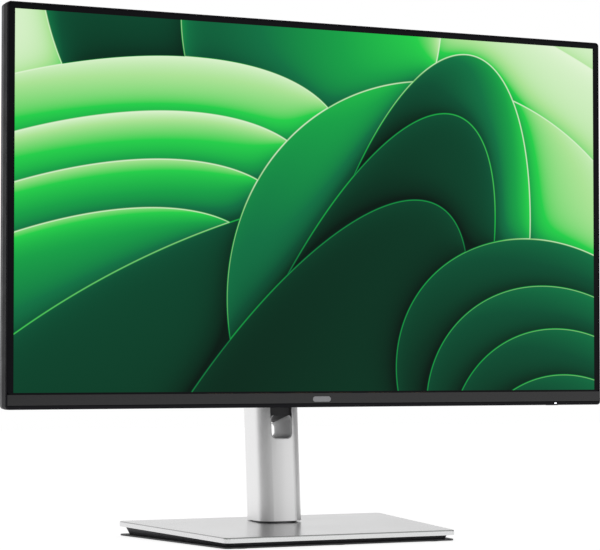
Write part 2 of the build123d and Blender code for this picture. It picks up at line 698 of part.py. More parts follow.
with BuildPart() as vesa_bosses:
    with BuildSketch(seen_from_behind(CHASSIS_Y + 1)):
        with GridLocations(VESA, VESA, 2, 2):
            Circle(4.5)
    extrude(amount=REAR_Y - CHASSIS_Y - 1)
    with BuildSketch(seen_from_behind(REAR_Y)):
        with GridLocations(VESA, VESA, 2, 2):
            Circle(2.0)
    extrude(amount=-12.0, mode=Mode.SUBTRACT)
finish(vesa_bosses, "vesa_bosses")

PCB_FRONT = -37.0
PCB_BACK = -35.4
BAY_Z = 158.0                # underside of the port bay's ceiling
with BuildPart() as main_board:
    slab((-122, PCB_FRONT, 161), (30, PCB_BACK, 206))
    for x in (-112, 20):
        slab((x - 3, CHASSIS_Y + 1, 196), (x + 3, PCB_FRONT, 202))
    slab((-60, PCB_BACK, 182), (-36, PCB_BACK + 1.4, 204))
    slab((-12, PCB_BACK, 186), (2, PCB_BACK + 1.2, 200))
    for x in (-104, -92, -80, -70):
        with Locations(Location((x, PCB_BACK, 196), (-90, 0, 0))):
            Cylinder(3.2, 8, align=(Align.CENTER, Align.CENTER, Align.MIN))
finish(main_board, "main_board")

with BuildPart() as power_board:
    slab((34, PCB_FRONT, 184), (122, PCB_BACK, 206))
    for x in (42, 114):
        slab((x - 3, CHASSIS_Y + 1, 196), (x + 3, PCB_FRONT, 202))
    slab((46, PCB_BACK, 186), (66, PCB_BACK + 17, 204))
    slab((100, PCB_BACK, 187), (104, PCB_BACK + 16, 205))
    with Locations(*[Location((x, PCB_BACK, 195), (-90, 0, 0)) for x in (76, 89)]):
        Cylinder(5.5, 18, align=(Align.CENTER, Align.CENTER, Align.MIN))
finish(power_board, "power_board")

with BuildPart() as board_shield:
    slab((-130, CHASSIS_Y + 1, 161), (130, -13, 210))
    slab((-129.2, CHASSIS_Y + 1, 161), (129.2, -13.8, 209.2), mode=Mode.SUBTRACT)
    with BuildSketch(seen_from_behind(-14, 196)):
        with GridLocations(9, 9, 26, 2):
            RegularPolygon(2.6, 6)
    extrude(amount=3, mode=Mode.SUBTRACT)
finish(board_shield, "board_shield")

# ---------------------------------------------------------------- sockets, mouths facing down
SOCKET_Y = PCB_BACK          # sockets stand on the back of the board
HDMI_X = -22.0
DP_X = 2.0
USB_B_X = -50.0
USB_A_X = (-76.0, -100.0)
INLET_X = 72.0
LOCK_X = 32.0


def socket(x, width, depth, height, shell=0.5):
    """Metal shell on the board, open downwards."""
    y = SOCKET_Y
    slab((x - width / 2, y, BAY_Z), (x + width / 2, y + depth, BAY_Z + height))
    slab(
        (x - width / 2 + shell, y + shell, BAY_Z),
        (x + width / 2 - shell, y + depth - shell, BAY_Z + height - 1),
        mode=Mode.SUBTRACT,
    )


def tongue(x, width, near, far, height):
    """Contact carrier inside a socket, a little back from the mouth."""
    slab((x - width / 2, SOCKET_Y + near, BAY_Z + 1.5), (x + width / 2, SOCKET_Y + far, BAY_Z + height))


with BuildPart() as video_sockets:
    socket(HDMI_X, 15.0, 5.6, 12)
    tongue(HDMI_X, 10.0, 2.0, 3.2, 11.5)
    socket(DP_X, 17.0, 6.0, 13)
    tongue(DP_X, 12.0, 1.8, 3.2, 12.5)
finish(video_sockets, "video_sockets")

with BuildPart() as usb_sockets:
    socket(USB_B_X, 12.0, 11.0, 15)
    tongue(USB_B_X, 5.6, 3.9, 7.1, 14.5)
    for x in USB_A_X:
        socket(x, 13.2, 6.0, 14)
        tongue(x, 11.2, 0.9, 2.7, 13.5)
finish(usb_sockets, "usb_sockets")

with BuildPart() as power_inlet:
    slab((INLET_X - 15, SOCKET_Y, BAY_Z), (INLET_X + 15, SOCKET_Y + 21, BAY_Z + 21))
    chamfer(power_inlet.edges().filter_by(Axis.Z).sort_by(Axis.Y)[-2:], 4.0)
    slab(
        (INLET_X - 12, SOCKET_Y + 2.5, BAY_Z),
        (INLET_X + 12, SOCKET_Y + 18.5, BAY_Z + 17),
        mode=Mode.SUBTRACT,
    )
    for x, y in ((-7, 8), (0, 13), (7, 8)):
        pin_y = SOCKET_Y + y
        slab((INLET_X + x - 1, pin_y - 2, BAY_Z + 3), (INLET_X + x + 1, pin_y + 2, BAY_Z + 17.5))
finish(power_inlet, "power_inlet")

# ---------------------------------------------------------------- controls
with BuildPart() as power_button:
    with BuildSketch(Plane(origin=(BUTTON_X, BUTTON_Y, HEAD_BOTTOM - 0.3))):
        SlotOverall(12.0, 3.6)
    extrude(amount=3.4)
    fillet(power_button.faces().sort_by(Axis.Z)[0].edges(), 0.3)
    with BuildSketch(Plane(origin=(BUTTON_X, BUTTON_Y, HEAD_BOTTOM + RIM + 0.3))):
        SlotOverall(15.0, 4.8)
    extrude(amount=0.9)
finish(power_button, "power_button")

with BuildPart() as key_boards:
    slab((BUTTON_X - 14, -45.2, 115.0), (BUTTON_X + 14, -40.6, 116.2))
    slab((BUTTON_X - 2, BUTTON_Y - 1.6, 113.8), (BUTTON_X + 2, BUTTON_Y + 1.6, 115.0))
    slab((STICK_X - 9, -39.8, STICK_Z - 9), (STICK_X + 9, -38.8, STICK_Z + 9))
    for x in (-7.6, 7.6):
        slab((STICK_X + x - 0.9, -38.8, STICK_Z - 2), (STICK_X + x + 0.9, -34.6, STICK_Z + 2))
finish(key_boards, "key_boards")

GIMBAL_R = 5.0
with BuildPart() as joystick_gimbal:
    with BuildSketch(Plane(origin=(STICK_X, STICK_Y - 0.8, STICK_Z), x_dir=(1, 0, 0), z_dir=(0, 1, 0))):
        Circle(GIMBAL_R)
        Circle(3.9, mode=Mode.SUBTRACT)
    extrude(amount=1.4)
    for side in (-1, 1):
        with Locations(Location((STICK_X + side * 5.5, STICK_Y, STICK_Z), (0, 90, 0))):
            Cylinder(0.6, 1.6)
finish(joystick_gimbal, "joystick_gimbal")

with BuildPart() as joystick_stem:
    with Locations(Location((STICK_X, STICK_Y - 1.6, STICK_Z), (-90, 0, 0))):
        Cylinder(1.5, 6.4, align=(Align.CENTER, Align.CENTER, Align.MIN))
    with Locations((STICK_X, STICK_Y, STICK_Z)):
        Cylinder(0.7, 7.0)
finish(joystick_stem, "joystick_stem")

with BuildPart() as joystick_cap:
    with BuildSketch(Plane(origin=(STICK_X, -30.6, STICK_Z), x_dir=(-1, 0, 0), z_dir=(0, 1, 0))):
        Circle(5.2)
    extrude(amount=4.0)
    fillet(joystick_cap.edges().sort_by(Axis.Y)[-1], 1.8)
    with BuildSketch(Plane(origin=(STICK_X, -34.4, STICK_Z), x_dir=(-1, 0, 0), z_dir=(0, 1, 0))):
        Circle(2.9)
        Circle(1.9, mode=Mode.SUBTRACT)
    extrude(amount=3.8)
finish(joystick_cap, "joystick_cap")

RELEASE_Z = 203.5
with BuildPart() as release_button:
    with BuildSketch(seen_from_behind(-6.0, RELEASE_Z)):
        RectangleRounded(22, 11, 2)
    extrude(amount=1.4)
    with BuildSketch(seen_from_behind(-6.0, RELEASE_Z)):
        RectangleRounded(18, 8, 2)
    extrude(amount=7.0)
    fillet(release_button.faces().sort_by(Axis.Y)[-1].edges(), 0.6)
finish(release_button, "release_button")

LATCH_LOW = HEAD_Z - 51.0
with BuildPart() as release_latch:
    slab((-6, -4.6, LATCH_LOW), (6, -3.5, HEAD_Z - PLATE / 2 + 2.4))
    chamfer(release_latch.edges().filter_by(Axis.X).group_by(Axis.Z)[-1], 0.4)
finish(release_latch, "release_latch")

# ---------------------------------------------------------------- rear cover
COVER_W = HEAD_W - 0.6
COVER_H = HEAD_H - 0.6


def cover_form(inset):
    """Outer form of the rear cover, or the form of its inside when shrunk by the wall."""
    with BuildPart() as form:
        with BuildSketch(seen_from_behind(SEAM_Y)):
            RectangleRounded(COVER_W - 2 * inset, COVER_H - 2 * inset, HEAD_R - inset / 2)
        extrude(amount=SLIM_Y - SEAM_Y - inset)
        fillet(form.faces().sort_by(Axis.Y)[-1].edges(), 3.4 - inset)
        with BuildSketch(seen_from_behind(SLIM_Y - inset - 1, BLOCK_Z)):
            RectangleRounded(BLOCK_W - 2 * inset, BLOCK_H - 2 * inset, 26)
        extrude(amount=REAR_Y - SLIM_Y + 1, taper=BLOCK_TAPER)
        fillet(form.faces().sort_by(Axis.Y)[-1].edges(), 5.0)
    return form.part


BAY_LOW = (-118.0, PCB_FRONT, 132.0)
BAY_HIGH = (98.0, REAR_Y + 5, BAY_Z)
with BuildPart() as cover_inside:
    add(cover_form(WALL))
    slab(
        (BAY_LOW[0] - 2, BAY_LOW[1] - 2, BAY_LOW[2] - 2),
        (BAY_HIGH[0] + 2, BAY_HIGH[1], BAY_Z + 2),
        mode=Mode.SUBTRACT,
    )
    with Locations((0, RECESS_Y - 2, HEAD_Z)):
        Box(RECESS + 4, 40, RECESS + 4, align=(Align.CENTER, Align.MIN, Align.CENTER), mode=Mode.SUBTRACT)
    with Locations(Location((STICK_X, -34.4, STICK_Z), (-90, 0, 0))):
        Cylinder(10.5, 10, align=(Align.CENTER, Align.CENTER, Align.MIN), mode=Mode.SUBTRACT)

with BuildPart() as rear_cover:
    add(cover_form(0))
    add(cover_inside.part, mode=Mode.SUBTRACT)
    # port bay, open downwards and to the back
    slab(BAY_LOW, BAY_HIGH, mode=Mode.SUBTRACT)
    slab((BAY_LOW[0], SLIM_Y, 120), BAY_HIGH, mode=Mode.SUBTRACT)
    # recess for the stand's mount plate
    with BuildSketch(seen_from_behind(RECESS_Y)):
        RectangleRounded(RECESS, RECESS, 9)
    extrude(amount=20, mode=Mode.SUBTRACT)
    # VESA bosses come through to the back face
    with BuildSketch(seen_from_behind(REAR_Y + 1)):
        with GridLocations(VESA, VESA, 2, 2):
            Circle(4.5)
    extrude(amount=-12, mode=Mode.SUBTRACT)
    # sockets in the ceiling of the bay
    for x, width, depth in (
        (HDMI_X, 15.4, 6.0),
        (DP_X, 17.4, 6.4),
        (USB_B_X, 12.4, 11.4),
        (USB_A_X[0], 13.6, 6.4),
        (USB_A_X[1], 13.6, 6.4),
        (INLET_X, 30.4, 21.4),
    ):
        slab(
            (x - width / 2, SOCKET_Y - 0.2, BAY_Z - 1),
            (x + width / 2, SOCKET_Y - 0.2 + depth, BAY_Z + 3),
            mode=Mode.SUBTRACT,
        )
    slab((LOCK_X - 3.5, -25.5, BAY_Z - 1), (LOCK_X + 3.5, -22.5, BAY_Z + 3), mode=Mode.SUBTRACT)
    # joystick dish, stand release button and its latch
    with Locations(Location((STICK_X, -32.4, STICK_Z), (-90, 0, 0))):
        Cylinder(8.5, 10, align=(Align.CENTER, Align.CENTER, Align.MIN), mode=Mode.SUBTRACT)
        Cylinder(3.7, 10, mode=Mode.SUBTRACT)
    with BuildSketch(seen_from_behind(REAR_Y + 1, RELEASE_Z)):
        RectangleRounded(18.8, 8.8, 2.4)
    extrude(amount=-5, mode=Mode.SUBTRACT)
    slab((-6.5, -5.1, HEAD_Z - RECESS / 2 - 4), (6.5, -3.1, HEAD_Z - RECESS / 2 + 1), mode=Mode.SUBTRACT)
    # air slots across the top of the block
    with BuildSketch(seen_from_behind(REAR_Y + 1, 337)):
        with GridLocations(7, 0, 37, 1):
            SlotOverall(20, 2.4, rotation=90)
    extrude(amount=-WALL - 2, mode=Mode.SUBTRACT)
finish(rear_cover, "rear_cover")
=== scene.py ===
import json
from math import cos, radians, sin, tau

import bmesh
import bpy
from mathutils import Matrix, Vector

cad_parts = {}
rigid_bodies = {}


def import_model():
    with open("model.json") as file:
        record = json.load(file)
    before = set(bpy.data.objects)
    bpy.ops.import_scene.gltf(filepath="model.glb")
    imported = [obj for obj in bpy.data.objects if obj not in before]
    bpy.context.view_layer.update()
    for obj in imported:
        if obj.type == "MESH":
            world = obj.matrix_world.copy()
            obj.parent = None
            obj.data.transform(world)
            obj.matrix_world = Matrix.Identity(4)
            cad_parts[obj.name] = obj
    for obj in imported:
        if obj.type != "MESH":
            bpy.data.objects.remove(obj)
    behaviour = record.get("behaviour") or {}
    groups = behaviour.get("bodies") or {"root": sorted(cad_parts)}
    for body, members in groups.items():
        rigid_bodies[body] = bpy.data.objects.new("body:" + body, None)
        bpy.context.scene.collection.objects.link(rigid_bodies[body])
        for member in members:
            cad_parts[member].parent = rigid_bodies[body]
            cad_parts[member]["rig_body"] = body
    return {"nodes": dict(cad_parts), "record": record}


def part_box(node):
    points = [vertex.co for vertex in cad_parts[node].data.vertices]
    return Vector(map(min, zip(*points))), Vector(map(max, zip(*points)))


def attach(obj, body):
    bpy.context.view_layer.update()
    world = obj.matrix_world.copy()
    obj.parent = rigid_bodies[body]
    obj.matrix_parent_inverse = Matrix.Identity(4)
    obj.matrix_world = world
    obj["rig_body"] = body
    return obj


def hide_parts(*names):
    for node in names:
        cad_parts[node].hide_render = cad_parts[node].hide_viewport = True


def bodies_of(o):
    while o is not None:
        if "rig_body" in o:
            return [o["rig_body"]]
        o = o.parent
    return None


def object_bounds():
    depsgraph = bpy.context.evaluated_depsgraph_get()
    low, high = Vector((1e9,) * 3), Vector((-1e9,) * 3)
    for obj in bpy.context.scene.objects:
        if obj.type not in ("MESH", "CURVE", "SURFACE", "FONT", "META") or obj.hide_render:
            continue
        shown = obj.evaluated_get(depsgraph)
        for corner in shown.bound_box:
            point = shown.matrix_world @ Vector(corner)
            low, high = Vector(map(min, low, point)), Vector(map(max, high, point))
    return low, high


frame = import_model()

# Desktop monitor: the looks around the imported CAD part. Metres, +Z up, the screen faces -Y.
CAD_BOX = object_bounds()
MM = 0.001
MICRON = 1e-6


# ---------------------------------------------------------------- camera and studio
def add_camera():
    """The photograph's view: a long lens from the front left, a little below the screen's middle."""
    data = bpy.data.cameras.new("camera")
    data.sensor_width = 36.0
    data.lens = 137.37
    data.clip_start = 0.05
    data.clip_end = 60.0
    camera = bpy.data.objects.new("camera", data)
    camera.location = (-0.8304, -1.72545, 0.1450)
    camera.rotation_euler = (radians(90 + 2.219), 0, radians(-25.807))
    bpy.context.scene.collection.objects.link(camera)
    bpy.context.scene.camera = camera


# Brightness of the studio round the object, by compass angle in turns: 0 is in front of the
# screen, 0.25 on the viewer's left, 0.5 behind. Soft white panels with dimmer gaps between them.
STUDIO_ROUND = [
    (0.00, 0.40),
    (0.04, 0.32),
    (0.24, 0.28),
    (0.36, 0.95),
    (0.50, 1.02),
    (0.60, 0.84),
    (0.67, 0.28),
    (0.82, 0.26),
    (0.87, 0.94),
    (0.91, 0.92),
    (0.935, 0.84),
    (0.955, 0.48),
    (1.00, 0.40),
]
STUDIO_ABOVE = 0.40
BACKGROUND = 1.0


def add_world():
    """A white tent: its walls' brightness changes softly with direction. The camera sees plain white."""
    world = bpy.data.worlds.new("studio")
    bpy.context.scene.world = world
    world.use_nodes = True
    tree = world.node_tree
    tree.nodes.clear()

    def node(kind, **settings):
        made = tree.nodes.new(kind)
        for key, value in settings.items():
            setattr(made, key, value)
        return made

    parts = node("ShaderNodeSeparateXYZ")
    tree.links.new(node("ShaderNodeTexCoord").outputs["Generated"], parts.inputs[0])
    left = node("ShaderNodeMath", operation="MULTIPLY")
    left.inputs[1].default_value = -1
    tree.links.new(parts.outputs["X"], left.inputs[0])
    front = node("ShaderNodeMath", operation="MULTIPLY")
    front.inputs[1].default_value = -1
    tree.links.new(parts.outputs["Y"], front.inputs[0])
    angle = node("ShaderNodeMath", operation="ARCTAN2")
    tree.links.new(left.outputs[0], angle.inputs[0])
    tree.links.new(front.outputs[0], angle.inputs[1])
    turns = node("ShaderNodeMath", operation="DIVIDE")
    turns.inputs[1].default_value = tau
    tree.links.new(angle.outputs[0], turns.inputs[0])
    wrapped = node("ShaderNodeMath", operation="FRACT")
    tree.links.new(turns.outputs[0], wrapped.inputs[0])
    walls = node("ShaderNodeFloatCurve")
    curve = walls.mapping.curves[0]
    while len(curve.points) < len(STUDIO_ROUND):
        curve.points.new(0.5, 0.5)
    for point, (at, bright) in zip(curve.points, STUDIO_ROUND):
        point.location = (at, bright / 2)
    walls.mapping.update()
    tree.links.new(wrapped.outputs[0], walls.inputs["Value"])
    height = node("ShaderNodeMapRange", interpolation_type="SMOOTHSTEP")
    height.inputs["From Min"].default_value = 0.20
    height.inputs["From Max"].default_value = 0.55
    tree.links.new(parts.outputs["Z"], height.inputs["Value"])
    level = node("ShaderNodeMix", data_type="FLOAT")
    level.inputs[3].default_value = STUDIO_ABOVE / 2
    tree.links.new(height.outputs[0], level.inputs[0])
    tree.links.new(walls.outputs[0], level.inputs[2])
    strength = node("ShaderNodeMath", operation="MULTIPLY")
    strength.inputs[1].default_value = 2
    tree.links.new(level.outputs[0], strength.inputs[0])
    lit = node("ShaderNodeBackground")
    tree.links.new(strength.outputs[0], lit.inputs["Strength"])
    seen = node("ShaderNodeBackground")
    seen.inputs["Strength"].default_value = BACKGROUND
    for background in (lit, seen):
        background.inputs["Color"].default_value = (1, 1, 1, 1)
    mix = node("ShaderNodeMixShader")
    tree.links.new(node("ShaderNodeLightPath").outputs["Is Camera Ray"], mix.inputs["Fac"])
    tree.links.new(lit.outputs[0], mix.inputs[1])
    tree.links.new(seen.outputs[0], mix.inputs[2])
    tree.links.new(mix.outputs[0], node("ShaderNodeOutputWorld").inputs["Surface"])


# ---------------------------------------------------------------- material graphs
class Graph:
    """A short way to write a material's node graph. Places are in metres, in the row frame."""

    def __init__(self, name):
        self.material = bpy.data.materials.new(name)
        self.material.use_nodes = True
        self.tree = self.material.node_tree
        self.tree.nodes.clear()
        self.place = self.node("ShaderNodeTexCoord").outputs["Object"]

    def node(self, kind, inputs=None, **settings):
        made = self.tree.nodes.new(kind)
        for key, value in settings.items():
            setattr(made, key, value)
        for key, value in (inputs or {}).items():
            self.put(made.inputs[key], value)
        return made

    def put(self, socket, value):
        if isinstance(value, bpy.types.NodeSocket):
            self.tree.links.new(value, socket)
        elif socket.type == "RGBA" and len(value) == 3:
            socket.default_value = (*value, 1)
        else:
            socket.default_value = value

    def math(self, operation, *values, clamp=False):
        inputs = dict(enumerate(values))
        return self.node("ShaderNodeMath", inputs, operation=operation, use_clamp=clamp).outputs[0]

    def remap(self, value, low, high, to_low, to_high):
        keys = ("Value", "From Min", "From Max", "To Min", "To Max")
        inputs = dict(zip(keys, (value, low, high, to_low, to_high)))
        return self.node("ShaderNodeMapRange", inputs, clamp=True).outputs[0]

    def mix(self, share, first, second):
        inputs = {0: share, 6: first, 7: second}
        return self.node("ShaderNodeMix", inputs, data_type="RGBA").outputs[2]

    def stretch(self, x, y, z):
        """The place, scaled along each axis, for grain that runs one way."""
        inputs = {"Vector": self.place, "Scale": (x, y, z)}
        return self.node("ShaderNodeMapping", inputs).outputs[0]

    def noise(self, size, detail=3.0, vector=None):
        """Noise from 0 to 1 whose blotches are about this size, in metres."""
        inputs = {"Vector": vector or self.place, "Scale": 1 / size, "Detail": detail}
        return self.node("ShaderNodeTexNoise", inputs).outputs[0]

    def cells(self, size, feature="F1", vector=None, **settings):
        inputs = {"Vector": vector or self.place, "Scale": 1 / size}
        return self.node("ShaderNodeTexVoronoi", inputs, feature=feature, **settings).outputs

    def bands(self, size, direction, profile="SIN", distortion=0.0):
        inputs = {"Vector": self.place, "Scale": 1 / size, "Distortion": distortion}
        settings = {"wave_type": "BANDS", "bands_direction": direction, "wave_profile": profile}
        return self.node("ShaderNodeTexWave", inputs, **settings).outputs["Fac"]

    def bump(self, height, depth, strength=1.0, normal=None):
        inputs = {"Height": height, "Distance": depth, "Strength": strength}
        if normal:
            inputs["Normal"] = normal
        return self.node("ShaderNodeBump", inputs).outputs[0]

    def finish(self, **inputs):
        surface = self.node("ShaderNodeBsdfPrincipled", {k.replace("_", " "): v for k, v in inputs.items()})
        output = self.node("ShaderNodeOutputMaterial")
        self.tree.links.new(surface.outputs[0], output.inputs["Surface"])
        return self.material


def shade(colour, factor):
    return tuple(min(1.0, channel * factor) for channel in colour)


def moulded_plastic(name, colour, rough, grain=0.35 * MM, depth=18 * MICRON, mottle=0.06, specular=0.5):
    """Injection-moulded plastic: a spark-eroded grain and a faint unevenness in the sheen."""
    g = Graph(name)
    flow = g.noise(45 * MM, 2.0)
    speck = g.noise(grain, 4.0)
    tone = g.math("ADD", g.math("MULTIPLY", flow, 0.6), g.math("MULTIPLY", speck, 0.4))
    base = g.mix(g.remap(tone, 0.3, 0.7, 0, 1), shade(colour, 1 - mottle), shade(colour, 1 + mottle))
    sheen = g.remap(g.noise(14 * MM, 3.0), 0.3, 0.7, rough * 0.92, min(1, rough * 1.1))
    return g.finish(
        Base_Color=base,
        Roughness=sheen,
        Specular_IOR_Level=specular,
        Normal=g.bump(speck, depth),
    )


def satin_metal(name, colour, rough, metallic, grain=0.16 * MM, depth=5 * MICRON, mottle=0.02):
    """Bead-blasted metal or metal paint: tiny dimples over an even, soft reflection."""
    g = Graph(name)
    flake = g.cells(grain)["Color"]
    bead = g.noise(grain, 2.0)
    cloud = g.noise(60 * MM, 2.0)
    spark = g.node("ShaderNodeSeparateColor", {0: flake}).outputs[0]
    tone = g.math("ADD", g.math("MULTIPLY", spark, 0.5), g.math("MULTIPLY", cloud, 0.5))
    base = g.mix(g.remap(tone, 0.2, 0.8, 0, 1), shade(colour, 1 - mottle), shade(colour, 1 + mottle))
    sheen = g.remap(g.math("ADD", cloud, g.math("MULTIPLY", bead, 0.3)), 0.4, 0.9, rough * 0.95, rough * 1.08)
    return g.finish(Base_Color=base, Metallic=metallic, Roughness=sheen, Normal=g.bump(bead, depth))


def sheet_steel(name, colour, rough=0.38):
    """Zinc-plated sheet: faint spangle, and rolling lines along X."""
    g = Graph(name)
    spangle = g.node("ShaderNodeSeparateColor", {0: g.cells(5 * MM)["Color"]}).outputs[0]
    lines = g.noise(0.5 * MM, 2.0, g.stretch(0.02, 1, 1))
    base = g.mix(spangle, shade(colour, 0.93), shade(colour, 1.06))
    wear = g.math("ADD", lines, g.math("MULTIPLY", spangle, 0.4))
    sheen = g.remap(wear, 0.4, 1.0, rough * 0.85, rough * 1.2)
    return g.finish(Base_Color=base, Metallic=0.95, Roughness=sheen, Normal=g.bump(lines, 3 * MICRON))


def turned_metal(name, colour, rough=0.28, ring=0.25 * MM):
    """Turned or drawn metal, with fine tool lines round the part."""
    g = Graph(name)
    lines = g.noise(ring, 2.0, g.stretch(1, 0.05, 1))
    smudge = g.noise(4 * MM, 3.0)
    base = g.mix(g.remap(smudge, 0.35, 0.65, 0, 1), shade(colour, 0.9), shade(colour, 1.05))
    sheen = g.remap(smudge, 0.3, 0.7, rough * 0.8, rough * 1.25)
    return g.finish(Base_Color=base, Metallic=1.0, Roughness=sheen, Normal=g.bump(lines, 3 * MICRON))


def cast_iron(name):
    """The base's weight: painted cast iron, pitted and a little rusty in its hollows."""
    g = Graph(name)
    pits = g.noise(1.4 * MM, 6.0)
    patches = g.noise(16 * MM, 4.0)
    paint = g.mix(g.remap(patches, 0.55, 0.75, 0, 1), (0.045, 0.046, 0.05), (0.085, 0.06, 0.045))
    sheen = g.remap(pits, 0.3, 0.7, 0.5, 0.75)
    return g.finish(Base_Color=paint, Metallic=0.4, Roughness=sheen, Normal=g.bump(pits, 120 * MICRON))


def rubber(name):
    g = Graph(name)
    dust = g.noise(3 * MM, 5.0)
    grain = g.noise(0.3 * MM, 3.0)
    base = g.mix(g.remap(dust, 0.5, 0.8, 0, 1), (0.018, 0.018, 0.019), (0.05, 0.05, 0.05))
    sheen = g.remap(dust, 0.3, 0.7, 0.75, 0.92)
    return g.finish(
        Base_Color=base,
        Roughness=sheen,
        Specular_IOR_Level=0.3,
        Normal=g.bump(grain, 30 * MICRON),
    )


def circuit_board(name):
    """Solder mask over copper tracks, with pads and through holes."""
    g = Graph(name)
    track = g.bands(2.2 * MM, "X", "TRI", 6.0)
    across = g.bands(3.1 * MM, "Z", "TRI", 9.0)
    copper = g.remap(g.math("MAXIMUM", track, across), 0.72, 0.8, 0, 1)
    pads = g.remap(g.cells(3.4 * MM)["Distance"], 0.16, 0.13, 0, 1)
    mask = g.mix(copper, (0.008, 0.055, 0.028), (0.018, 0.12, 0.055))
    base = g.mix(pads, mask, (0.55, 0.5, 0.38))
    height = g.math("ADD", copper, g.math("MULTIPLY", pads, 0.6))
    return g.finish(
        Base_Color=base,
        Metallic=g.math("MULTIPLY", pads, 0.9),
        Roughness=g.remap(g.noise(6 * MM), 0.3, 0.7, 0.26, 0.4),
        Normal=g.bump(height, 35 * MICRON),
    )


def flat_cable(name):
    """Ribbon of side-by-side conductors under a clear amber film."""
    g = Graph(name)
    wires = g.bands(1.6 * MM, "X")
    base = g.mix(g.remap(wires, 0.3, 0.7, 0, 1), (0.32, 0.14, 0.03), (0.62, 0.36, 0.12))
    sheen = g.remap(wires, 0, 1, 0.35, 0.22)
    return g.finish(Base_Color=base, Metallic=0.25, Roughness=sheen, Normal=g.bump(wires, 60 * MICRON))


def diffuser_film(name):
    """Milky film with a fine prism grain."""
    g = Graph(name)
    prisms = g.bands(0.3 * MM, "Z", "TRI")
    base = g.mix(g.noise(30 * MM), (0.78, 0.79, 0.8), (0.9, 0.9, 0.91))
    return g.finish(
        Base_Color=base,
        Roughness=g.remap(prisms, 0, 1, 0.3, 0.45),
        Transmission_Weight=0.35,
        IOR=1.5,
        Normal=g.bump(prisms, 8 * MICRON),
    )


def light_guide_acrylic(name):
    """Clear acrylic with rows of white dots that grow away from the lamps."""
    g = Graph(name)
    dot = g.cells(1.5 * MM, vector=g.stretch(1, 0.001, 1), distance="EUCLIDEAN")["Distance"]
    up = g.node("ShaderNodeSeparateXYZ", {0: g.place}).outputs["Z"]
    reach = g.remap(up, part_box("light_guide")[0].z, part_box("light_guide")[1].z, 0.2, 0.42)
    white = g.math("LESS_THAN", dot, reach)
    return g.finish(
        Base_Color=g.mix(white, (0.9, 0.93, 0.93), (0.97, 0.97, 0.97)),
        Roughness=g.remap(white, 0, 1, 0.05, 0.6),
        Transmission_Weight=g.remap(white, 0, 1, 0.9, 0.2),
        IOR=1.49,
        Normal=g.bump(white, 10 * MICRON),
    )


def lit_lens(name):
    """Small frosted lens, lit white from behind."""
    g = Graph(name)
    frost = g.noise(0.2 * MM, 3.0)
    return g.finish(
        Base_Color=g.mix(frost, (0.8, 0.82, 0.85), (0.95, 0.96, 1.0)),
        Roughness=g.remap(frost, 0.3, 0.7, 0.3, 0.5),
        Emission_Color=g.mix(frost, (0.85, 0.9, 1.0), (1, 1, 1)),
        Emission_Strength=1.2,
        Normal=g.bump(frost, 6 * MICRON),
    )


def lamp_strip(name):
    """White lamp board: the lamps' yellow phosphor shows on top of it."""
    g = Graph(name)
    up = g.node("ShaderNodeSeparateXYZ", {0: g.place}).outputs["Z"]
    low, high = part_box("led_bar")
    lamp = g.remap(up, high.z - 0.65 * MM, high.z - 0.55 * MM, 0, 1)
    grain = g.noise(0.5 * MM)
    return g.finish(
        Base_Color=g.mix(lamp, g.mix(grain, (0.8, 0.8, 0.78), (0.88, 0.88, 0.86)), (0.8, 0.62, 0.12)),
        Roughness=g.remap(grain, 0.3, 0.7, 0.35, 0.5),
        Normal=g.bump(grain, 10 * MICRON),
    )


# ---------------------------------------------------------------- the picture on the screen
# Folds of a generic wallpaper, from the back to the front. Places and sizes are shares of the
# picture's height, from its centre: (centre), (half width, half height), turn in degrees,
# (tone, tone along x, tone along y), glow inside the edge, shadow outside it.
FOLDS = [
    ((0.62, 0.10), (1.05, 0.42), -24, (0.88, 0.02, 0.05), 0.05, 0.10),
    ((-0.30, 0.62), (0.52, 0.62), 12, (0.30, 0.10, 0.22), 0.25, 0.12),
    ((-0.02, 0.55), (0.40, 0.50), -8, (0.52, 0.22, 0.05), 0.22, 0.10),
    ((-0.86, -0.10), (0.98, 0.42), 18, (0.60, 0.16, 0.20), 0.10, 0.10),
    ((-0.88, -0.24), (0.93, 0.40), 20, (0.50, 0.14, 0.22), 0.20, 0.16),
    ((-0.90, -0.36), (0.88, 0.38), 22, (0.40, 0.12, 0.22), 0.20, 0.16),
    ((-0.92, -0.47), (0.82, 0.35), 24, (0.34, 0.12, 0.22), 0.20, 0.16),
    ((-0.30, -0.72), (1.25, 0.62), 26, (0.12, 0.02, 0.10), 0.10, 0.14),
    ((0.42, -0.30), (0.72, 0.66), -30, (0.62, 0.18, 0.20), 0.05, 0.14),
    ((0.28, -0.40), (0.34, 0.88), -14, (0.30, 0.32, 0.10), 0.12, 0.20),
    ((0.05, -0.62), (0.34, 0.98), -24, (0.10, 0.06, 0.10), 0.10, 0.22),
    ((-0.16, -0.80), (0.36, 0.98), -34, (0.09, 0.05, 0.06), 0.08, 0.20),
    ((0.74, -0.50), (0.52, 0.42), -22, (0.24, 0.08, 0.12), 0.08, 0.16),
    ((0.77, -0.59), (0.45, 0.38), -22, (0.27, 0.08, 0.12), 0.08, 0.20),
    ((0.79, -0.68), (0.39, 0.35), -24, (0.24, 0.08, 0.12), 0.08, 0.20),
    ((0.80, -0.80), (0.36, 0.34), -26, (0.22, 0.08, 0.12), 0.08, 0.20),
]
TONES = [
    (0.00, (0.0003, 0.0091, 0.0044)),
    (0.12, (0.0009, 0.0319, 0.0137)),
    (0.28, (0.0018, 0.0762, 0.0319)),
    (0.42, (0.0037, 0.1620, 0.0545)),
    (0.56, (0.0070, 0.3515, 0.0612)),
    (0.70, (0.0176, 0.6172, 0.0685)),
    (0.84, (0.4125, 0.7605, 0.3050)),
    (1.00, (0.8228, 0.9301, 0.7305)),
]
GLOW_REACH = 0.035
EDGE_SOFT = 0.0016
LINE_HALF = 0.0028


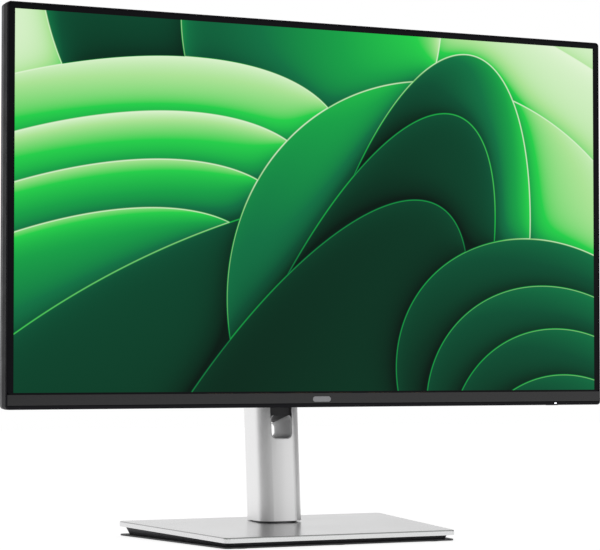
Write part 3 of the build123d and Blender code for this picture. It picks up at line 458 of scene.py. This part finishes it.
def wallpaper(name, centre, height):
    """A picture of overlapping green folds with bright edges, all worked out by the graph."""
    g = Graph(name)
    parts = g.node("ShaderNodeSeparateXYZ", {0: g.place}).outputs
    u = g.math("DIVIDE", g.math("SUBTRACT", parts["X"], centre.x), height)
    v = g.math("DIVIDE", g.math("SUBTRACT", parts["Z"], centre.z), height)
    tone = g.math("ADD", 0.93, g.math("MULTIPLY", v, 0.05))
    line = 0.0
    for (cx, cy), (rx, ry), turn, (level, along, up), glow, shadow in FOLDS:
        c, s = cos(radians(turn)), sin(radians(turn))
        x = g.math("SUBTRACT", u, cx)
        y = g.math("SUBTRACT", v, cy)
        px = g.math("MULTIPLY_ADD", x, c / rx, g.math("MULTIPLY", y, s / rx))
        py = g.math("MULTIPLY_ADD", x, -s / ry, g.math("MULTIPLY", y, c / ry))
        radius = g.math("SQRT", g.math("MULTIPLY_ADD", px, px, g.math("MULTIPLY", py, py)))
        gx = g.math("DIVIDE", px, rx)
        gy = g.math("DIVIDE", py, ry)
        slope = g.math("SQRT", g.math("MULTIPLY_ADD", gx, gx, g.math("MULTIPLY", gy, gy)))
        depth = g.math("DIVIDE", g.math("MULTIPLY", g.math("SUBTRACT", 1.0, radius), radius), slope)
        inside = g.remap(depth, -EDGE_SOFT / 2, EDGE_SOFT / 2, 0, 1)
        near_in = g.math("EXPONENT", g.math("DIVIDE", g.math("MAXIMUM", depth, 0.0), -GLOW_REACH))
        near_out = g.math("EXPONENT", g.math("DIVIDE", g.math("MINIMUM", depth, 0.0), GLOW_REACH))
        own = g.math("MULTIPLY_ADD", px, along, g.math("MULTIPLY_ADD", py, up, level))
        own = g.math("MULTIPLY_ADD", near_in, glow, own)
        below = g.math("MULTIPLY_ADD", near_out, -shadow, tone)
        tone = g.math("MULTIPLY_ADD", inside, g.math("SUBTRACT", own, below), below)
        edge = g.remap(g.math("ABSOLUTE", depth), 0, LINE_HALF, 1, 0)
        line = g.math("MAXIMUM", g.math("MULTIPLY", line, g.math("SUBTRACT", 1.0, inside)), edge)

    def coloured(value):
        ramp = g.node("ShaderNodeValToRGB", {"Fac": value})
        stops = ramp.color_ramp.elements
        while len(stops) < len(TONES):
            stops.new(0.5)
        for stop, (position, colour) in zip(stops, TONES):
            stop.position = position
            stop.color = (*colour, 1)
        return ramp.outputs[0]

    body = coloured(tone)
    bright = coloured(g.math("MINIMUM", g.math("ADD", tone, 0.42), 0.97))
    picture = g.mix(line, body, bright)
    return g.finish(
        Base_Color=(0.001, 0.001, 0.0015),
        Roughness=g.remap(g.noise(0.25 * MM, 2.0), 0.3, 0.7, 0.32, 0.4),
        Specular_IOR_Level=0.06,
        Emission_Color=picture,
        Emission_Strength=1.0,
        Normal=g.bump(g.noise(0.2 * MM, 2.0), 2 * MICRON),
    )


def screen_glass(name):
    """Anti-glare surface of the panel, black where no picture shows."""
    g = Graph(name)
    frost = g.noise(0.2 * MM, 3.0)
    return g.finish(
        Base_Color=g.mix(frost, (0.0015, 0.0015, 0.003), (0.0025, 0.0025, 0.0045)),
        Roughness=g.remap(frost, 0.3, 0.7, 0.15, 0.19),
        Specular_IOR_Level=0.10,
        Normal=g.bump(frost, 3 * MICRON),
    )


# ---------------------------------------------------------------- mesh helpers
def piece(name, mesh_maker, material, body, replaces=()):
    """Builds one piece with bmesh, smooths it, and hangs it on its body."""
    bm = bmesh.new()
    mesh_maker(bm)
    bmesh.ops.recalc_face_normals(bm, faces=bm.faces)
    mesh = bpy.data.meshes.new(name)
    bm.to_mesh(mesh)
    bm.free()
    mesh.materials.append(material)
    made = bpy.data.objects.new(name, mesh)
    bpy.context.scene.collection.objects.link(made)
    mesh.shade_smooth()
    mesh.set_sharp_from_angle(angle=radians(32))
    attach(made, body)
    if replaces:
        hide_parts(*replaces)
    return made


def add_block(bm, low, high):
    """Closed box between two corners."""
    centre = (Vector(low) + Vector(high)) / 2
    size = Vector(high) - Vector(low)
    matrix = Matrix.Translation(centre) @ Matrix.Diagonal((*size, 1))
    return bmesh.ops.create_cube(bm, size=1, matrix=matrix)["verts"]


def add_rod(bm, start, end, radius, sides):
    """Closed cylinder from start to end."""
    start, end = Vector(start), Vector(end)
    turn = (end - start).to_track_quat("Z", "Y").to_matrix().to_4x4()
    matrix = Matrix.Translation((start + end) / 2) @ turn
    bmesh.ops.create_cone(
        bm,
        segments=sides,
        radius1=radius,
        radius2=radius,
        depth=(end - start).length,
        cap_ends=True,
        matrix=matrix,
    )


def add_lathe(bm, profile, centre, axis, sides):
    """Closed turned solid. Profile points are (radius, distance along the axis); both ends lie on it."""
    axis = Vector(axis).normalized()
    side = axis.orthogonal().normalized()
    up = axis.cross(side)
    rings = []
    for radius, along in profile:
        middle = Vector(centre) + axis * along
        if radius == 0:
            rings.append([bm.verts.new(middle)])
            continue
        turns = [tau * k / sides for k in range(sides)]
        rings.append([bm.verts.new(middle + (side * cos(t) + up * sin(t)) * radius) for t in turns])
    for first, second in zip(rings, rings[1:]):
        for k in range(sides):
            corners = (first[k % len(first)], first[(k + 1) % len(first)])
            corners += (second[(k + 1) % len(second)], second[k % len(second)])
            bm.faces.new(tuple(dict.fromkeys(corners)))


def add_tube(bm, path, radius, sides=12):
    """Round wire along a list of points, with closed ends."""
    path = [Vector(point) for point in path]
    rings = []
    across = (path[1] - path[0]).orthogonal().normalized()
    for k, point in enumerate(path):
        ahead = (path[min(k + 1, len(path) - 1)] - path[max(k - 1, 0)]).normalized()
        across = (across - ahead * across.dot(ahead)).normalized()
        up = ahead.cross(across)
        turns = [tau * j / sides for j in range(sides)]
        rings.append([bm.verts.new(point + (across * cos(t) + up * sin(t)) * radius) for t in turns])
    for first, second in zip(rings, rings[1:]):
        for j in range(sides):
            bm.faces.new((first[j], first[(j + 1) % sides], second[(j + 1) % sides], second[j]))
    bm.faces.new(rings[0][::-1])
    bm.faces.new(rings[-1])


def add_screw(bm, seat, axis, radius, height):
    """Pan-head screw: a domed head on its seat, with a six-lobed driver recess."""
    profile = [(0, 0), (radius, 0), (radius, 0.45 * height), (0.86 * radius, 0.85 * height)]
    profile += [(0.60 * radius, height), (0.45 * radius, height)]
    profile += [(0.36 * radius, 0.75 * height), (0.30 * radius, 0.35 * height), (0, 0.35 * height)]
    add_lathe(bm, profile, seat, axis, 36)
    axis = Vector(axis).normalized()
    side = axis.orthogonal().normalized()
    up = axis.cross(side)
    for k in range(6):
        turn = tau * k / 6
        rib = Vector(seat) + (side * cos(turn) + up * sin(turn)) * 0.40 * radius
        add_rod(bm, rib + axis * 0.2 * height, rib + axis * 0.98 * height, 0.09 * radius, 10)


# ---------------------------------------------------------------- build
add_camera()
add_world()
bpy.context.scene.view_settings.view_transform = "Standard"

SIDE_BORDER = 4.78 * MM
TOP_BORDER = 4.02 * MM
LOW_BORDER = 1.25 * MM
cell_low, cell_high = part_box("lcd_cell")
picture_low = Vector((cell_low.x + SIDE_BORDER, cell_low.y - 0.05 * MM, cell_low.z + LOW_BORDER))
picture_high = Vector((cell_high.x - SIDE_BORDER, cell_low.y, cell_high.z - TOP_BORDER))
PICTURE = wallpaper("picture", (picture_low + picture_high) / 2, picture_high.z - picture_low.z)

MATERIALS = {
    "silver_cover": satin_metal("silver_cover", (0.72, 0.72, 0.725), 0.24, 1.0),
    "neck_silver": satin_metal("neck_silver", (0.80, 0.798, 0.80), 0.30, 1.0),
    "bezel_black": moulded_plastic("bezel_black", (0.0115, 0.0112, 0.0135), 0.46, specular=0.06),
    "chin_grey": moulded_plastic("chin_grey", (0.004, 0.0038, 0.005), 0.2, specular=0.52),
    "cover_dark": moulded_plastic("cover_dark", (0.040, 0.040, 0.044), 0.5, 0.5 * MM, 30 * MICRON),
    # base_black also colours the cable guide, a black block in the top of the neck's hole that paints in the
    # shade there.
    "base_black": moulded_plastic("base_black", (0.021, 0.021, 0.023), 0.5),
    "liner_grey": moulded_plastic("liner_grey", (0.55, 0.552, 0.56), 0.45),
    "badge_metal": satin_metal("badge_metal", (0.26, 0.26, 0.27), 0.28, 1.0),
    "lcd_glass": screen_glass("lcd_glass"),
    "film": diffuser_film("film"),
    "acrylic": light_guide_acrylic("acrylic"),
    "steel_plate": sheet_steel("steel_plate", (0.56, 0.57, 0.58)),
    "steel_dark": sheet_steel("steel_dark", (0.16, 0.16, 0.17), 0.42),
    "cast_weight": cast_iron("cast_weight"),
    "rubber": rubber("rubber"),
    "pom": moulded_plastic("pom", (0.72, 0.71, 0.68), 0.4, mottle=0.03),
    "pcb": circuit_board("pcb"),
    "flex": flat_cable("flex"),
    "led_white": lit_lens("led_white"),
    "brass": turned_metal("brass", (0.72, 0.5, 0.22)),
    "button_dark": moulded_plastic("button_dark", (0.03, 0.03, 0.033), 0.48),
}
NODE_MATERIALS = {
    "led_bar": lamp_strip("lamp_strip"),
    # The skirt's own black plastic, made lighter than base_black as painted light, because the skirt sits in
    # shade under the plate.
    "base_skirt": moulded_plastic("skirt_black_lightened", (0.045, 0.045, 0.049), 0.55),
}


for subpart in frame["record"]["subparts"]:
    target = frame["nodes"][subpart["node"]]
    finish = NODE_MATERIALS.get(subpart["node"], MATERIALS[subpart["material_slot"]])
    target.data.materials.clear()
    target.data.materials.append(finish)

piece("picture", lambda bm: add_block(bm, picture_low, picture_high), PICTURE, "display")


# ---------------------------------------------------------------- fittings
def middle(node):
    low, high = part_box(node)
    return (low + high) / 2


def body_of(node):
    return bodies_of(frame["nodes"][node])[0]


# Sizes and places, as in the CAD part
WIRE = 1.1 * MM                        # half the spring wire's thickness
SPRING_TURNS = 4
SPRING_STEPS = 40                      # per turn
EAR_OUT = 13.4 * MM                    # outer face of the tilt bracket's ears
NECK_AXIS = Vector((0, 42.25 * MM, 0))
KNURL_RADIUS = 9.95 * MM
KNURL_LOW = 3.7 * MM
KNURL_HIGH = 6.7 * MM
KNURL_RIDGES = 60
PCB_BACK = -35.4 * MM                  # back of both boards; the sockets stand on it
BAY_Z = 158.0 * MM                     # mouths of the sockets
HDMI_X = -22.0 * MM
DP_X = 2.0 * MM
USB_B_X = -50.0 * MM
USB_A_X = (-76.0 * MM, -100.0 * MM)
MAIN_CAPACITORS = [(x * MM, 196 * MM) for x in (-104, -92, -80, -70)]
POWER_CAPACITORS = [(x * MM, 195 * MM) for x in (76, 89)]


def tilt_spring(bm, side):
    """Close-wound torsion spring on the tilt shaft."""
    low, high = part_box("tilt_springs")
    hub = middle("tilt_springs")
    ring = (high.z - low.z) / 2 - WIRE
    inner = hub.x + side * (EAR_OUT + WIRE)
    outer = hub.x + side * (high.x - hub.x - WIRE)
    steps = SPRING_TURNS * SPRING_STEPS
    path = []
    for k in range(steps + 1):
        turn = tau * SPRING_TURNS * k / steps
        x = inner + (outer - inner) * k / steps
        path.append((x, hub.y + ring * cos(turn), hub.z + ring * sin(turn)))
    add_tube(bm, path, WIRE * 0.96)


def screw_knurl(bm):
    """Straight knurl round the thumb screw's head."""
    for k in range(KNURL_RIDGES):
        turn = tau * k / KNURL_RIDGES
        foot = NECK_AXIS + Vector((cos(turn), sin(turn), 0)) * KNURL_RADIUS
        low = foot + Vector((0, 0, KNURL_LOW))
        high = foot + Vector((0, 0, KNURL_HIGH))
        add_rod(bm, low, high, 0.32 * MM, 8)


def plate_screws(bm):
    """Four screws that hold the mounting plate to the chassis."""
    low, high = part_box("mount_plate")
    hub = middle("mount_plate")
    reach = (high.x - low.x) / 2 - 7 * MM
    for x in (-reach, reach):
        for z in (-reach, reach):
            add_screw(bm, (hub.x + x, high.y, hub.z + z), (0, 1, 0), 3.4 * MM, 1.9 * MM)


def contact_row(bm, centre_x, count, pitch, y, low_z, high_z, width):
    """A row of gold contacts on a socket's tongue."""
    for k in range(count):
        x = centre_x + (k - (count - 1) / 2) * pitch
        add_block(bm, (x - width / 2, y, low_z), (x + width / 2, y + 0.12 * MM, high_z))


def video_contacts(bm):
    low, high = BAY_Z + 1.8 * MM, BAY_Z + 8 * MM
    tongue_y = PCB_BACK + 3.2 * MM
    contact_row(bm, HDMI_X, 10, 0.95 * MM, tongue_y, low, high, 0.5 * MM)
    contact_row(bm, DP_X, 10, 1.1 * MM, tongue_y, low, high, 0.6 * MM)


def usb_contacts(bm):
    low, high = BAY_Z + 2 * MM, BAY_Z + 9 * MM
    contact_row(bm, USB_B_X, 2, 2.5 * MM, PCB_BACK + 7.1 * MM, low, high, 1.2 * MM)
    for x in USB_A_X:
        contact_row(bm, x, 4, 2.4 * MM, PCB_BACK + 2.7 * MM, low, high, 1.2 * MM)


def capacitor(bm, x, z, radius, height):
    """Electrolytic can: sleeve with a rolled neck, and a scored top."""
    profile = [(0, 0), (radius, 0), (radius, 0.08 * height), (0.93 * radius, 0.12 * height)]
    profile += [(radius, 0.16 * height), (radius, 0.97 * height)]
    profile += [(0.9 * radius, height), (0.74 * radius, height)]
    profile += [(0.70 * radius, 0.985 * height), (0, 0.985 * height)]
    add_lathe(bm, profile, (x, PCB_BACK, z), (0, 1, 0), 32)


def capacitors(bm):
    for x, z in MAIN_CAPACITORS:
        capacitor(bm, x, z, 3.35 * MM, 8.3 * MM)
    for x, z in POWER_CAPACITORS:
        capacitor(bm, x, z, 5.65 * MM, 18.3 * MM)


def heat_sink(bm):
    """Finned block on the main board's biggest chip."""
    low = Vector((-61 * MM, PCB_BACK + 0.2 * MM, 181 * MM))
    high = Vector((-35 * MM, PCB_BACK + 2.6 * MM, 205 * MM))
    add_block(bm, low, high)
    fins = 9
    thick = 1.0 * MM
    for k in range(fins):
        x = low.x + (high.x - low.x - thick) * k / (fins - 1)
        add_block(bm, (x, high.y - 0.2 * MM, low.z), (x + thick, high.y + 5.5 * MM, high.z))


def chip_leads(bm):
    """Leads down the two long sides of the memory chip."""
    for k in range(12):
        z = 187 * MM + k * 1.1 * MM
        for x in (-13.2 * MM, 2.0 * MM):
            add_block(bm, (x, PCB_BACK - 0.1 * MM, z), (x + 1.2 * MM, PCB_BACK + 0.5 * MM, z + 0.5 * MM))


def small_parts(bm):
    """Rows of surface-mounted parts and four board screws, all on the main board."""
    for row in range(3):
        for k in range(9):
            x = (-31 + 1.9 * k) * MM
            z = (165 + 6.5 * row) * MM
            add_block(bm, (x, PCB_BACK - 0.1 * MM, z), (x + 1.0 * MM, PCB_BACK + 0.6 * MM, z + 1.9 * MM))
    for x in (-118, -112, 12, 18):
        low = Vector((x * MM, PCB_BACK - 0.1 * MM, 178 * MM))
        add_rod(bm, low, low + Vector((0, 3.1 * MM, 0)), 2.4 * MM, 8)


STEEL_DARK = MATERIALS["steel_dark"]
GOLD = turned_metal("contact_gold", (0.83, 0.60, 0.22), 0.24)
CAN_SLEEVE = moulded_plastic("can_sleeve", (0.02, 0.022, 0.035), 0.3)
ALUMINIUM = satin_metal("heat_sink_metal", (0.55, 0.56, 0.57), 0.34, 1.0)
for side, side_name in ((-1, "left"), (1, "right")):
    piece(
        "tilt_spring_" + side_name,
        lambda bm, side=side: tilt_spring(bm, side),
        STEEL_DARK,
        body_of("tilt_springs"),
        ("tilt_springs",),
    )
piece("screw_knurl", screw_knurl, STEEL_DARK, body_of("thumb_screw"))
piece("plate_screws", plate_screws, STEEL_DARK, body_of("mount_plate"))
piece("video_contacts", video_contacts, GOLD, "display")
piece("usb_contacts", usb_contacts, GOLD, "display")
piece("capacitors", capacitors, CAN_SLEEVE, "display")
piece("heat_sink", heat_sink, ALUMINIUM, "display")
piece("chip_leads", chip_leads, MATERIALS["steel_plate"], "display")
piece("small_parts", small_parts, CAN_SLEEVE, "display")


def add_floor():
    """Plain white floor."""
    g = Graph("floor")
    tone = g.noise(0.4, 2.0)
    material = g.finish(
        Base_Color=g.mix(tone, (0.64, 0.64, 0.64), (0.66, 0.66, 0.66)),
        Roughness=0.9,
        Specular_IOR_Level=0.0,
        Emission_Color=(1, 1, 1),
        Emission_Strength=0.79,
    )
    mesh = bpy.data.meshes.new("floor")
    bm = bmesh.new()
    bmesh.ops.create_grid(bm, x_segments=4, y_segments=4, size=3)
    bm.to_mesh(mesh)
    bm.free()
    mesh.materials.append(material)
    floor = bpy.data.objects.new("floor", mesh)
    floor.location.z = CAD_BOX[0].z - 0.05 * MM
    bpy.context.scene.collection.objects.link(floor)


add_floor()
